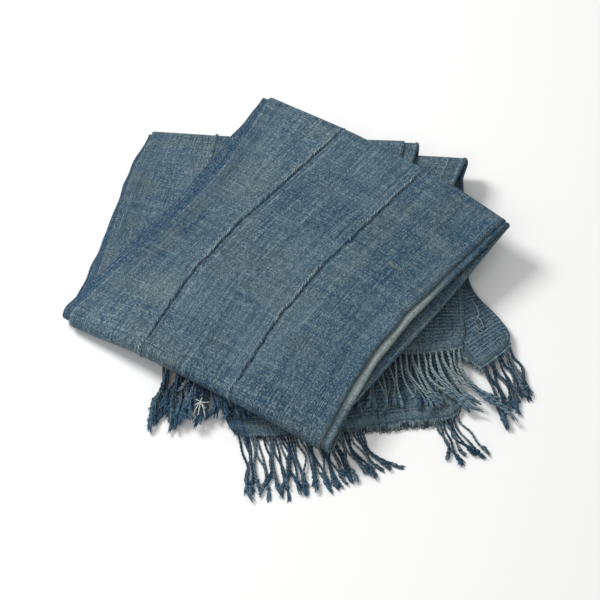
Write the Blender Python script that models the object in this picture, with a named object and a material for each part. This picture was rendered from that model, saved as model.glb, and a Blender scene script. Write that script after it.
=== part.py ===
# Indigo throw of nine hand-woven strips sewn side by side, with a fringe at both ends.
# It lies folded in three along its length and then back and forth in six layers.
# Sizes are in millimetres until the meshes are made.
import math

import bpy
import numpy as np

MM = 0.001

STRIP_WIDTH = 120.0
CLOTH_THICKNESS = 1.1
SHEET_SPACING = 2.0
PIECE_GAP = 0.3
BAND_HALF = 177.5

ROLL_RADIUS = 2.0
ROLL_NECK_RADIUS = 4.0

BACKING_DEPTH = 3.0
STRAND_SLOT = 4.5
STRAND_WIDTH = 2.6
STRAND_HEIGHT = 2.6
STRAND_LENGTH = 84.0

HALF_BAND_THICKNESS = SHEET_SPACING + CLOTH_THICKNESS / 2

# Creases across the folded band, in plan, outer face of the cloth.
# name: left x, left y, right x, right y, side the crease faces, how far its middle bows out
CREASES = {
    "upper_hem": (-165.0, -100.0, 200.0, -81.0, -1, 0.0),
    "far_inner": (-168.0, 243.0, 203.0, 203.0, 1, 0.0),
    "near_outer": (-271.0, -44.0, 30.0, -237.0, -1, 0.0),
    "far_top": (-36.0, 294.0, 249.0, 78.0, 1, 7.0),
    "near_inner": (-258.0, -26.0, 38.0, -212.0, -1, 0.0),
    "far_outer": (-196.0, 262.0, 149.0, 230.0, 1, 0.0),
    "lower_hem": (-70.0, -200.0, 187.0, -170.0, -1, 5.0),
}

# Layers in the order in which the cloth runs through them.
# first crease, last crease, place in the stack from the floor, rows as parts of the way
LAYERS = (
    ("upper_hem", "far_inner", 1, (0.0, 0.13, 0.32, 0.62, 1.0)),
    ("far_inner", "near_outer", 2, (0.0, 0.2, 0.42, 0.64, 0.84, 1.0)),
    ("near_outer", "far_top", 5, (0.0, 0.08, 0.19, 0.34, 0.52, 0.76, 1.0)),
    ("far_top", "near_inner", 4, (0.0, 0.2, 0.42, 0.64, 0.84, 1.0)),
    ("near_inner", "far_outer", 3, (0.0, 0.14, 0.32, 0.52, 0.76, 1.0)),
    ("far_outer", "lower_hem", 0, (0.0, 0.3, 0.6, 0.84, 1.0)),
)
BEND_STEPS = (5, 5, 4, 3, 5)

# Folds along the band at points of the way: 0 is the upper hem, each whole number a crease.
# way, first selvedge, left fold, right fold, last selvedge
LONG_FOLDS = (
    (0.0, 170.0, -176.0, 177.5, -179.0),
    (0.5, 166.0, -176.0, 176.0, -190.0),
    (1.0, 160.0, -177.5, 177.5, -195.0),
    (1.5, 156.0, -172.0, 173.0, -192.0),
    (2.0, 167.0, -174.0, 177.5, -187.0),
    (2.12, 161.0, -168.0, 171.0, -182.0),
    (2.3, 151.0, -157.0, 161.0, -169.0),
    (2.5, 151.0, -154.5, 160.0, -168.0),
    (2.7, 158.0, -157.0, 166.0, -170.0),
    (2.85, 165.0, -165.0, 172.0, -176.0),
    (3.0, 171.0, -176.0, 177.5, -186.0),
    (3.5, 156.0, -164.0, 177.5, -177.0),
    (4.0, 160.0, -172.0, 174.0, -184.0),
    (4.5, 157.0, -172.0, 171.0, -179.0),
    (4.8, 158.0, -172.0, 173.0, -178.0),
    (5.0, 158.0, -165.0, 175.0, -170.0),
    (5.5, 157.0, -174.0, 176.0, -184.0),
    (6.0, 160.0, -176.0, 177.5, -187.0),
)

# Gaps between the layers' middles, from the floor up.
STACK_STEPS = (6.9, 6.9, 7.2, 6.4, 8.0)
LOOP_LIFT = 21.0

# Stretches of hem that have no strands.
# hem, sheets, first place across the band, last place
BARE = (
    ("lower", ("top", "middle", "bottom"), 14.0, 127.0),
    ("upper", ("middle", "bottom"), 46.0, 112.0),
)

# Where the two lower sheets' hem lies at the upper end, whose right corner swings out.
# place across the band, x, y
SWUNG_HEM = (
    (-172.0, -159.3, -99.7),
    (50.0, 178.0, -84.0),
    (110.0, 206.0, -106.0),
    (172.0, 247.0, -74.0),
)


# Stretch of the upper hem whose top sheet has twice as many strands: first place across, last place
CLOSE_STRANDS = (55.0, 176.0)

# How strands lean to the right at their tips, as a part of their length.
# group: place across the band, lean
LEAN = {
    "upper_top": ((-170.0, -0.10), (-60.0, 0.0), (80.0, 0.06), (110.0, 0.42), (170.0, 0.80)),
    "upper_under": ((-170.0, -0.10), (20.0, 0.0), (112.0, -0.20), (172.0, -0.08)),
    "lower": ((-170.0, -0.16), (-110.0, -0.12), (-70.0, 0.0), (-30.0, 0.05), (14.0, 0.60), (127.0, 0.12), (172.0, 0.58)),
}

# How long strands are, as a part of the whole length.
# group: place across the band, part
LENGTH = {
    "upper_top": ((-170.0, 1.12), (-40.0, 1.0), (110.0, 1.0), (170.0, 1.16)),
    "upper_under": ((-170.0, 1.08), (-40.0, 0.94), (100.0, 0.94), (172.0, 0.84)),
    "lower": ((-170.0, 1.0), (-60.0, 0.98), (0.0, 0.78), (127.0, 0.70), (170.0, 0.74)),
}


def ease(value):
    held = min(max(value, 0.0), 1.0)
    return held * held * (3.0 - 2.0 * held)


def left_of(x, y, first, last):
    """How far the point lies to the left of the line from first (far) to last (near)."""
    along = (y - first[1]) / (last[1] - first[1])
    return first[0] + along * (last[0] - first[0]) - x


def layer_height(place, x, y):
    """Middle height of the layer at this place in the stack, above the floor."""
    off_floor_layer = ease(left_of(x, y, (-232.0, 262.0), (-122.0, -198.0)) / 105.0)
    off_upper_end = ease(left_of(x, y, (-205.0, 262.0), (-182.0, -114.0)) / 78.0)
    near_sag = 0.62 * ease((-186.0 - y) / 48.0)
    loop = LOOP_LIFT * ease((x + 115.0) / 325.0) * ease((y + 85.0) / 285.0)
    height = HALF_BAND_THICKNESS
    if place >= 1:
        height += STACK_STEPS[0] * (1.0 - off_floor_layer)
        height -= 2.0 * ease((x - 205.0) / 60.0) if place == 1 else 0.0
    if place >= 2:
        height += STACK_STEPS[1] * (1.0 - max(off_upper_end, near_sag)) + loop
    if place >= 3:
        height += STACK_STEPS[2] + 0.8 * math.sin(x / 62.0 + y / 90.0 + 0.7) ** 2
    if place >= 4:
        height += STACK_STEPS[3] - 1.0 * ease((-120.0 - y) / 80.0)
        height += 5.5 * ease((y - 120.0) / 150.0) * ease((160.0 - x) / 200.0)
    if place >= 5:
        height += STACK_STEPS[4] + 1.6 * math.sin(x / 58.0 - y / 74.0 + 0.4) ** 2
        pocket = ease(1.0 - math.hypot(x - 150.0, y + 45.0) / 110.0)
        height += 3.5 * pocket
    return height


def on_crease(name, u):
    """Point on the crease's outer line, and its outward direction."""
    left_x, left_y, right_x, right_y, side, bow = CREASES[name]
    share = (u + BAND_HALF) / (2 * BAND_HALF)
    run = np.array([right_x - left_x, right_y - left_y])
    outward = side * np.array([-run[1], run[0]]) / np.hypot(*run)
    bulge = bow * (1.0 - (2.0 * share - 1.0) ** 2)
    return np.array([left_x, left_y]) + share * run + bulge * outward, outward


def bend_start(crease, u, lower, upper):
    """Where the layers at these two places begin to turn, and the half-turn's radius."""
    line, outward = on_crease(crease, u)
    point = line
    for _ in range(4):
        radius = abs(layer_height(upper, *point) - layer_height(lower, *point)) / 2
        point = line - outward * (radius + HALF_BAND_THICKNESS)
    return point, radius


def layer_end(index, at_start, u):
    """Plan point where this layer starts or ends."""
    first, last, place, _ = LAYERS[index]
    crease = first if at_start else last
    neighbour = index - 1 if at_start else index + 1
    if neighbour < 0 or neighbour >= len(LAYERS):
        return on_crease(crease, u)[0]
    return bend_start(crease, u, place, LAYERS[neighbour][2])[0]


class Row:
    """One line across the band: where its three sheets lie and which way they face."""

    def __init__(self, way, place_at):
        table = np.array(LONG_FOLDS)
        self.selvedge, left, right, self.last = (
            np.interp(way, table[:, 0], table[:, column]) for column in range(1, 5)
        )
        neck = (ROLL_NECK_RADIUS + SHEET_SPACING / 2) / (ROLL_NECK_RADIUS + ROLL_RADIUS)
        self.lean = math.acos(neck)
        reach = (ROLL_NECK_RADIUS + ROLL_RADIUS) * math.sin(self.lean) + ROLL_RADIUS
        turn = left + SHEET_SPACING / 2
        first_seam = self.selvedge - STRIP_WIDTH
        second_seam = first_seam - STRIP_WIDTH
        # All three sheets have their seams and creases at these places, so they nest.
        self.knots = (
            turn,
            turn + (second_seam - turn) / 3,
            second_seam,
            (first_seam + second_seam) / 2,
            first_seam,
            (first_seam + self.selvedge) / 2,
            self.selvedge,
            right - reach,
        )
        self.base_u = [self.last - 2.0, *self.knots, right + 4.0]
        spots = [place_at(u) for u in self.base_u]
        self.base = np.array([spot[0] for spot in spots])
        self.facing = np.array([spot[1] for spot in spots])
        self.shift = lambda sheet, u: np.zeros(3)

    def point(self, u, h):
        base = [np.interp(u, self.base_u, self.base[:, axis]) for axis in range(3)]
        facing = [np.interp(u, self.base_u, self.facing[:, axis]) for axis in range(3)]
        return np.array(base) + h * np.array(facing)

    def across(self, station):
        """Place across the band, height in it and the direction in which the cloth runs."""
        sheet, knot, nudge = station
        half = SHEET_SPACING / 2
        heights = {"top": SHEET_SPACING, "middle": 0.0, "bottom": -SHEET_SPACING}
        if sheet == "left_turn":
            angle = math.pi * (0.5 + knot)
            u = self.knots[0] + half * math.cos(angle)
            return u, half + half * math.sin(angle), math.pi * (1 + knot)
        if sheet == "roll":
            return self.along_roll(knot)
        heading = 0.0 if sheet == "middle" else math.pi
        u = nudge
        if knot == "last":
            u = self.last
        elif knot is not None:
            u = self.knots[knot] + nudge
        return u, heights[sheet], heading

    def along_roll(self, share):
        """The right fold: a round roll behind a narrow neck, share 0 to 1."""
        sweep = math.pi + 2 * self.lean
        heading = self.lean - share * sweep
        run = (ROLL_NECK_RADIUS + ROLL_RADIUS) * math.sin(self.lean)
        centre_u = self.knots[7] + run
        u = centre_u - ROLL_RADIUS * math.sin(heading)
        return u, ROLL_RADIUS * math.cos(heading) - SHEET_SPACING / 2, heading

    def faces(self, station):
        """Both faces of the cloth at this station."""
        u, h, heading = self.across(station)
        side = np.array([math.sin(heading), -math.cos(heading)]) * CLOTH_THICKNESS / 2
        shift = self.shift(station[0], u)
        outer = self.point(u + side[0], h + side[1]) + shift
        inner = self.point(u - side[0], h - side[1]) + shift
        return outer, inner


def swing_lower_corner(row, distance):
    """The two lower sheets of the upper end swing out to the right near the hem."""
    table = np.array(SWUNG_HEM)
    fade = 1.0 - ease((distance - 40.0) / 100.0)

    def shift(sheet, u):
        if sheet in ("top", "left_turn"):
            return np.zeros(3)
        held = max(u, table[0, 0])
        x = np.interp(held, table[:, 0], table[:, 1]) + (u - min(u, 172.0))
        y = np.interp(held, table[:, 0], table[:, 2])
        swing = ease((u - 20.0) / 80.0)
        inward = np.array([-0.45 * swing, 1.0 - 0.12 * swing])
        move = fade * (np.array([x, y]) + inward * distance - row.point(held, 0.0)[:2])
        return np.array([move[0], move[1], 0.0])

    return shift


def layer_row(index, part, beyond=0.0):
    """A row in a layer, or beyond its end by this much for the fringe."""
    place = LAYERS[index][2]
    up = 1.0 if index % 2 == 0 else -1.0

    def place_at(u):
        start = layer_end(index, True, u)
        end = layer_end(index, False, u)
        run = (end - start) / np.hypot(*(end - start))
        spot = start + part * (end - start) + run * beyond
        height = layer_height(place, *spot)
        return np.array([spot[0], spot[1], height]), np.array([0.0, 0.0, up])

    row = Row(index + part, place_at)
    if index == 0:
        length = np.hypot(*(layer_end(0, False, 100.0) - layer_end(0, True, 100.0)))
        row.shift = swing_lower_corner(row, part * length + beyond)
    return row


def bend_row(index, angle):
    """A row in the half-turn after this layer, the angle from a quarter-turn down to minus one."""
    lower, upper = LAYERS[index][2], LAYERS[index + 1][2]
    crease = LAYERS[index][1]
    up = 1.0 if index % 2 == 0 else -1.0
    falls = 1.0 if lower > upper else -1.0

    def place_at(u):
        point, radius = bend_start(crease, u, lower, upper)
        outward = on_crease(crease, u)[1]
        middle = (layer_height(lower, *point) + layer_height(upper, *point)) / 2
        flat = math.cos(angle)
        rise = falls * math.sin(angle)
        radial = np.array([flat * outward[0], flat * outward[1], rise])
        centre = np.array([point[0], point[1], middle])
        return centre + radius * radial, up * falls * radial

    return Row(index + 1.0, place_at)


def all_rows():
    rows = []
    for index, (_, _, _, parts) in enumerate(LAYERS):
        rows += [layer_row(index, part) for part in parts]
        if index < len(BEND_STEPS):
            steps = BEND_STEPS[index]
            angles = [math.pi * (0.5 - step / steps) for step in range(1, steps)]
            rows += [bend_row(index, angle) for angle in angles]
    return rows


def strip_stations(number):
    """Places across the cloth where this strip's mesh has a line, from one seam to the next."""
    gap = PIECE_GAP / 2
    turn = [("left_turn", step / 4, 0.0) for step in range(1, 4)]
    roll = [("roll", step / 6, 0.0) for step in range(7)]
    return (
        [("top", 6, 0.0), ("top", 5, 0.0), ("top", 4, gap)],
        [("top", 4, -gap), ("top", 3, 0.0), ("top", 2, gap)],
        [
            ("top", 2, -gap),
            ("top", 1, 0.0),
            ("top", 0, 0.0),
            *turn,
            ("middle", 0, 0.0),
            ("middle", 1, -gap),
        ],
        [("middle", 1, gap), ("middle", 2, 0.0), ("middle", 3, -gap)],
        [("middle", 3, gap), ("middle", 4, 0.0), ("middle", 5, -gap)],
        [
            ("middle", 5, gap),
            ("middle", 6, 0.0),
            ("middle", 7, 0.0),
            *roll,
            ("bottom", 7, 0.0),
            ("bottom", 6, gap),
        ],
        [("bottom", 6, -gap), ("bottom", 5, 0.0), ("bottom", 4, gap)],
        [("bottom", 4, -gap), ("bottom", 3, 0.0), ("bottom", 2, gap)],
        [("bottom", 2, -gap), ("bottom", 1, 0.0), ("bottom", 0, 0.0), ("bottom", "last", 0.0)],
    )[number]


def closed_grid(rows, stations):
    """Points and triangles of a thin sheet with both faces and its four edges."""
    outer, inner = [], []
    for row in rows:
        for station in stations:
            first, second = row.faces(station)
            outer.append(first)
            inner.append(second)
    points = outer + inner
    wide, long = len(stations), len(rows)
    under = wide * long
    faces = []
    for i in range(long - 1):
        for j in range(wide - 1):
            a, b = i * wide + j, i * wide + j + 1
            c, d = b + wide, a + wide
            # Each pair of triangles leans the same way in all three sheets, so they nest.
            if stations[j][0] == "middle":
                faces += [(a, b, c), (a, c, d)]
                faces += [(under + c, under + b, under + a), (under + d, under + c, under + a)]
            else:
                faces += [(a, b, d), (b, c, d)]
                faces += [(under + d, under + b, under + a), (under + d, under + c, under + b)]
        faces += strip_of_edge(i * wide, (i + 1) * wide, under)
        faces += strip_of_edge((i + 2) * wide - 1, (i + 1) * wide - 1, under)
    for j in range(wide - 1):
        faces += strip_of_edge(j + 1, j, under)
        last = (long - 1) * wide + j
        faces += strip_of_edge(last, last + 1, under)
    return points, faces


def strip_of_edge(a, b, under):
    return [(a, b, under + b), (a, under + b, under + a)]


def rests_on(hem, sheet, root):
    """Height of what a strand lies on: the floor, the layer on it, or other strands."""
    if hem == "lower":
        return 0.0
    left_edge = left_of(0.0, root[1], (-214.0, 264.0), (-84.0, -200.0)) - 12.0
    right_edge = left_of(0.0, root[1], (160.0, 216.0), (200.0, -181.0)) + 10.0
    height = 2 * HALF_BAND_THICKNESS + 0.5 if left_edge < root[0] < right_edge else 0.0
    return height + (STRAND_HEIGHT + 0.4 if sheet == "top" else 0.0)


def strand_places(hem, sheet, low, high):
    """Places across the band of the strands that one sheet has between these two."""
    slot = ("top", "middle", "bottom").index(sheet)
    first = math.ceil(((low + 2.0) / STRAND_SLOT - slot) / 3)
    last = math.floor(((high - 2.0) / STRAND_SLOT - slot) / 3)
    found = [(3 * index + slot) * STRAND_SLOT for index in range(first, last + 1)]
    if hem == "upper" and sheet == "top":
        between = [u + 1.5 * STRAND_SLOT for u in found]
        found += [u for u in between if max(low + 2.0, CLOSE_STRANDS[0]) < u < min(high - 2.0, CLOSE_STRANDS[1])]
    for bare_hem, sheets, start, end in BARE:
        if hem == bare_hem and sheet in sheets:
            found = [u for u in found if not start < u < end]
    return found


def backing_stations(hem, number, row):
    """The backing's lines across the cloth, and which of them start a strand."""
    half = STRAND_WIDTH / 2
    cloth = strip_stations(number)
    stations, strands = [], []
    for sheet in ("top", "left_turn", "middle", "roll", "bottom"):
        own = [station for station in cloth if station[0] == sheet]
        if not own:
            continue
        if sheet in ("left_turn", "roll"):
            stations += own
            continue
        places = [row.across(station)[0] for station in own]
        roots = strand_places(hem, sheet, min(places), max(places))
        ends = (own[0], own[-1])
        items = [(u, None) for u in roots]
        for u, station in zip(places, own):
            if station in ends or all(abs(u - root) > half + 0.4 for root in roots):
                items.append((u, station))
        items.sort(key=lambda item: item[0], reverse=sheet != "middle")
        way = 1.0 if sheet == "middle" else -1.0
        for u, station in items:
            if station is None:
                strands.append((len(stations), sheet, u))
                stations += [(sheet, None, u - way * half), (sheet, None, u + way * half)]
            else:
                stations.append(station)
    return stations, strands


def strand_rings(hem, sheet, index, root, across, along, up):
    """Four-sided rings of one strand from its root to its tip."""
    group = hem
    if hem == "upper":
        group = "upper_top" if sheet == "top" else "upper_under"
    length = STRAND_LENGTH * (0.93 + 0.09 * math.sin(1.7 * index) * math.cos(0.6 * index))
    length *= np.interp(index * STRAND_SLOT, *np.array(LENGTH[group]).T)
    phase = index * STRAND_SLOT / 46.0 + (1.2 if hem == "upper" else 3.6)
    lean = np.interp(index * STRAND_SLOT, *np.array(LEAN[group]).T)
    sideways = np.array([-along[1], along[0], 0.0])
    floor = rests_on(hem, sheet, root)
    rings = []
    for share, width, height in ((0.2, 1.0, 1.0), (0.58, 1.0, 1.0), (1.0, 0.62, 0.8)):
        sway = 4.0 * share * math.sin(phase) + length * lean * share * share
        centre = root + along * share * length + sideways * sway
        tall = STRAND_HEIGHT * height / 2
        centre[2] = floor + tall
        if share < 0.5 and hem == "upper" and sheet == "top":
            centre[2] = root[2] + 0.5
        side = across * STRAND_WIDTH * width / 2
        rise = np.array([0.0, 0.0, up * tall])
        rings.append(
            (centre - side + rise, centre + side + rise, centre + side - rise, centre - side - rise)
        )
    return rings


def fringe_mesh(hem, number):
    """A narrow backing along the strip's end, and the strands that hang from it."""
    if hem == "upper":
        near, far = layer_row(0, 0.0, -PIECE_GAP), layer_row(0, 0.0, -PIECE_GAP - BACKING_DEPTH)
    else:
        near, far = layer_row(5, 1.0, PIECE_GAP), layer_row(5, 1.0, PIECE_GAP + BACKING_DEPTH)
    stations, strands = backing_stations(hem, number, near)
    rows = (near, far)
    points, faces = closed_grid(rows, stations)
    wide = len(stations)
    under = 2 * wide
    for place, sheet, u in strands:
        a, b = wide + place, wide + place + 1
        faces = [face for face in faces if face not in strip_of_edge(a, b, under)]
        root = (points[a], points[b], points[under + b], points[under + a])
        centre = sum(root) / 4
        back = (points[place] + points[under + place + 1]) / 2
        along = centre - back
        along[2] = 0.0
        along /= np.linalg.norm(along)
        across = root[1] - root[0]
        across[2] = 0.0
        across /= np.linalg.norm(across)
        up = 1.0 if root[0][2] > root[3][2] else -1.0
        ring = (a, b, under + b, under + a)
        slot = u / STRAND_SLOT
        for corners in strand_rings(hem, sheet, slot, centre, across, along, up):
            start = len(points)
            points += corners
            following = tuple(range(start, start + 4))
            for k in range(4):
                m = (k + 1) % 4
                faces.append((ring[k], ring[m], following[m]))
                faces.append((ring[k], following[m], following[k]))
            ring = following
        faces.append((ring[0], ring[1], ring[2]))
        faces.append((ring[0], ring[2], ring[3]))
    return points, faces, len(strands)


def signed_volume(points, faces):
    total = 0.0
    for face in faces:
        for k in range(1, len(face) - 1):
            a, b, c = points[face[0]], points[face[k]], points[face[k + 1]]
            total += float(np.dot(a, np.cross(b, c))) / 6.0
    return total


def make_object(name, points, faces, colour, roughness):
    if signed_volume(points, faces) < 0:
        faces = [tuple(reversed(face)) for face in faces]
    mesh = bpy.data.meshes.new(name)
    mesh.from_pydata([tuple(point * MM) for point in points], [], faces)
    mesh.validate()
    thing = bpy.data.objects.new(name, mesh)
    bpy.context.scene.collection.objects.link(thing)
    material = bpy.data.materials.new(name + "_cloth")
    material.use_nodes = True
    shader = material.node_tree.nodes["Principled BSDF"]
    shader.inputs["Base Color"].default_value = (*colour, 1.0)
    shader.inputs["Roughness"].default_value = roughness
    shader.inputs["Metallic"].default_value = 0.0
    mesh.materials.append(material)
    return thing


for thing in list(bpy.data.objects):
    bpy.data.objects.remove(thing, do_unlink=True)

pieces = []
rows = all_rows()
for number in range(9):
    points, faces = closed_grid(rows, strip_stations(number))
    pieces.append((f"strip_{number + 1}", points, faces, (0.085, 0.135, 0.175)))
strand_count = 0
for hem in ("upper", "lower"):
    for number in range(9):
        points, faces, strands = fringe_mesh(hem, number)
        strand_count += strands
        pieces.append((f"fringe_{hem}_{number + 1}", points, faces, (0.03, 0.06, 0.11)))

# The middle of the base is the origin.
everything = np.array([point for piece in pieces for point in piece[1]])
middle = (everything.min(axis=0) + everything.max(axis=0)) / 2
middle[2] = 0.0
for name, points, faces, colour in pieces:
    make_object(name, [point - middle for point in points], faces, colour, 0.9)
print("strands", strand_count, "middle", middle.round(3))
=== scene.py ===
import math

import bpy
import numpy as np
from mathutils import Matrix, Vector


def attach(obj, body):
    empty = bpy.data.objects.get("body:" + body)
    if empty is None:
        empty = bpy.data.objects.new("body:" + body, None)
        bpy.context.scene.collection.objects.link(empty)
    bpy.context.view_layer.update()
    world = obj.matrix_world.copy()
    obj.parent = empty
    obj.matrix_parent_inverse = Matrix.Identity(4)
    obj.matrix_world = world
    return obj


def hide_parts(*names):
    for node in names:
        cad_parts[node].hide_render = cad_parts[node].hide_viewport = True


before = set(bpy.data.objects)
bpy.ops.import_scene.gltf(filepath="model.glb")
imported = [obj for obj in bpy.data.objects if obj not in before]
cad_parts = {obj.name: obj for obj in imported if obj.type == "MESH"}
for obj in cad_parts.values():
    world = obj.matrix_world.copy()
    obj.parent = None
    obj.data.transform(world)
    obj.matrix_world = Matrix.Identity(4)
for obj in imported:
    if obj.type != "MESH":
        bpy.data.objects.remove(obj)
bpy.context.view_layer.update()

# the throw lies folded in three along its length and then in six layers; sizes in mm until the meshes are made
middle = np.array([-5.033, 4.279, 0.0])
cloth = dict(strip=120.0, width=1080.0, thick=1.0, room=1.1, spacing=2.0, half=177.5)
roll = dict(radius=2.0, neck=4.0)
halfStack = cloth["spacing"] + cloth["room"] / 2
stackSteps = (6.9, 6.9, 7.2, 6.4, 8.0)  # rise from each layer to the one on it

# where the cloth folds or ends: left x, left y, right x, right y, side it faces, bow
creases = {
    "upperHem": (-165.0, -100.0, 200.0, -81.0, -1, 0.0),
    "farInner": (-168.0, 243.0, 203.0, 203.0, 1, 0.0),
    "nearOuter": (-271.0, -44.0, 30.0, -237.0, -1, 0.0),
    "farTop": (-36.0, 294.0, 249.0, 78.0, 1, 7.0),
    "nearInner": (-258.0, -26.0, 38.0, -212.0, -1, 0.0),
    "farOuter": (-196.0, 262.0, 149.0, 230.0, 1, 0.0),
    "lowerHem": (-70.0, -200.0, 187.0, -170.0, -1, 5.0),
}

# first crease, last crease, place in the stack
layers = (
    ("upperHem", "farInner", 1),
    ("farInner", "nearOuter", 2),
    ("nearOuter", "farTop", 5),
    ("farTop", "nearInner", 4),
    ("nearInner", "farOuter", 3),
    ("farOuter", "lowerHem", 0),
)

# way along the cloth, first selvedge, left fold, right fold, last selvedge
longFolds = np.array([
    (0.0, 170.0, -176.0, 177.5, -179.0),
    (0.5, 166.0, -176.0, 176.0, -190.0),
    (1.0, 160.0, -177.5, 177.5, -195.0),
    (1.5, 156.0, -172.0, 173.0, -192.0),
    (2.0, 167.0, -174.0, 177.5, -187.0),
    (2.12, 161.0, -168.0, 171.0, -182.0),
    (2.3, 151.0, -157.0, 161.0, -169.0),
    (2.5, 151.0, -154.5, 160.0, -168.0),
    (2.7, 158.0, -157.0, 166.0, -170.0),
    (2.85, 165.0, -165.0, 172.0, -176.0),
    (3.0, 171.0, -176.0, 177.5, -186.0),
    (3.5, 156.0, -164.0, 177.5, -177.0),
    (4.0, 160.0, -172.0, 174.0, -184.0),
    (4.5, 157.0, -172.0, 171.0, -179.0),
    (4.8, 158.0, -172.0, 173.0, -178.0),
    (5.0, 158.0, -165.0, 175.0, -170.0),
    (5.5, 157.0, -174.0, 176.0, -184.0),
    (6.0, 160.0, -176.0, 177.5, -187.0),
])

# where the two lower sheets' hem lies at the upper end: place across, x, y
swungHem = np.array([
    (-172.0, -159.3, -99.7), (50.0, 178.0, -84.0), (110.0, 206.0, -106.0), (172.0, 247.0, -74.0),
])


# left edges of the two lowest layers, two points each, and how wide the layers above sink beside them
leftEdges = (((-232.0, 262.0), (-122.0, -198.0), 105.0), ((-205.0, 262.0), (-182.0, -114.0), 78.0))


def ease(value):
    held = np.clip(value, 0.0, 1.0)
    return held * held * (3.0 - 2.0 * held)


def unit(vector):
    return vector / np.linalg.norm(vector, axis=-1, keepdims=True)


def leftOf(x, y, first, last):
    return first[0] + (y - first[1]) / (last[1] - first[1]) * (last[0] - first[0]) - x


# height of a layer's middle above the floor, with its sags and soft swells
def layerHeight(place, point):
    x, y = point[..., 0], point[..., 1]
    offFloor, offUpper = (ease(leftOf(x, y, first, last) / width) for first, last, width in leftEdges)
    nearSag = 0.62 * ease((-186.0 - y) / 48.0)
    loop = 21.0 * ease((x + 115.0) / 325.0) * ease((y + 85.0) / 285.0)
    height = halfStack + 0.0 * x
    if place >= 1:
        height += stackSteps[0] * (1.0 - offFloor)
    if place == 1:
        height -= 2.0 * ease((x - 205.0) / 60.0)
    if place >= 2:
        height += stackSteps[1] * (1.0 - np.maximum(offUpper, nearSag)) + loop
    if place >= 3:
        height += stackSteps[2] + 0.8 * np.sin(x / 62.0 + y / 90.0 + 0.7) ** 2
    if place >= 4:
        height += stackSteps[3] - 1.0 * ease((-120.0 - y) / 80.0)
        height += 5.5 * ease((y - 120.0) / 150.0) * ease((160.0 - x) / 200.0)
    if place >= 5:
        height += stackSteps[4] + 1.6 * np.sin(x / 58.0 - y / 74.0 + 0.4) ** 2
        height += 3.5 * ease(1.0 - np.hypot(x - 150.0, y + 45.0) / 110.0)
    return height


def onCrease(name, u):
    leftX, leftY, rightX, rightY, side, bow = creases[name]
    share = (u + cloth["half"]) / (2 * cloth["half"])
    run = np.array([rightX - leftX, rightY - leftY])
    outward = side * np.array([-run[1], run[0]]) / np.hypot(*run)
    bulge = bow * (1.0 - (2.0 * share - 1.0) ** 2)
    return np.array([leftX, leftY]) + share[..., None] * run + bulge[..., None] * outward, outward


# where the flat layers give way to the bend at a crease, and the bend's radius
def bendStart(crease, u, lower, upper):
    line, outward = onCrease(crease, u)
    point = line
    for step in range(4):
        radius = abs(layerHeight(upper, point) - layerHeight(lower, point)) / 2
        point = line - outward * (radius + halfStack)[..., None]
    return point, radius, outward


# the four corners of the hems are worn round: a square corner drawn into a quarter circle
def roundedCorner(u, distance):
    reach = np.where(u > 0, 27.0, 14.0)
    sideways = np.clip(np.abs(u) - (176.0 - reach), 0.0, reach)
    inward = np.clip(reach - distance, 0.0, reach)
    drawn = 1.0 - np.maximum(sideways, inward) / np.maximum(np.hypot(sideways, inward), 1e-6)
    return u - np.sign(u) * sideways * drawn, inward * drawn


def layerEnd(index, atStart, u):
    first, last, place = layers[index]
    crease = first if atStart else last
    beside = index - 1 if atStart else index + 1
    if beside < 0 or beside >= len(layers):
        return onCrease(crease, u)[0]
    return bendStart(crease, u, place, layers[beside][2])[0]


# middle of the folded band at these places across it, and the way it faces
def flatRow(index, part, u, beyond=0.0):
    pulled = 0.0 * u
    if index in (0, 5):
        u, pulled = roundedCorner(u, layerLengths[index] * (part if index == 0 else 1.0 - part))
    start, end = layerEnd(index, True, u), layerEnd(index, False, u)
    run = unit(end - start)
    spot = start + part * (end - start) + run * (beyond + (pulled if index == 0 else -pulled))[..., None]
    height = layerHeight(layers[index][2], spot)
    up = 1.0 if index % 2 == 0 else -1.0
    facing = np.zeros(spot.shape[:-1] + (3,))
    facing[..., 2] = up
    return np.concatenate([spot, height[..., None]], -1), facing


def turnRow(index, angle, u):
    lower, upper = layers[index][2], layers[index + 1][2]
    point, radius, outward = bendStart(layers[index][1], u, lower, upper)
    centre = (layerHeight(lower, point) + layerHeight(upper, point)) / 2
    falls = 1.0 if lower > upper else -1.0
    up = 1.0 if index % 2 == 0 else -1.0
    radial = np.array([math.cos(angle) * outward[0], math.cos(angle) * outward[1], falls * math.sin(angle)])
    base = np.concatenate([point, centre[..., None]], -1) + radius[..., None] * radial
    return base, np.broadcast_to(up * falls * radial, base.shape)


# how far the two lower sheets of the upper end swing to the right, in plan
def swing(u, distance):
    held = np.maximum(u, swungHem[0, 0])
    worn, pulled = roundedCorner(u, distance)
    distance = distance + pulled
    x = np.interp(worn, swungHem[:, 0], swungHem[:, 1]) + (worn - np.minimum(worn, 172.0))
    y = np.interp(worn, swungHem[:, 0], swungHem[:, 2])
    amount = ease((worn - 20.0) / 80.0)
    fade = 1.0 - ease((distance - 40.0) / 100.0)
    target = np.stack([x - 0.45 * amount * distance, y + (1.0 - 0.12 * amount) * distance], -1)
    return target, fade, held


layerLengths = [
    float(np.linalg.norm(layerEnd(k, False, np.array([100.0])) - layerEnd(k, True, np.array([100.0]))))
    for k in range(6)
]
lean = math.acos((roll["neck"] + cloth["spacing"] / 2) / (roll["neck"] + roll["radius"]))
neckRun = (roll["neck"] + roll["radius"]) * math.sin(lean)


def flat(index, part, beyond=0.0):
    return {"index": index, "part": part, "beyond": beyond, "way": index + part}


def turning(index, angle):
    bulge = (4.0 if index == 0 else 1.5) * math.cos(angle) ** 2
    return {"index": index, "angle": angle, "way": index + 1.0, "bulge": bulge}


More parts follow.
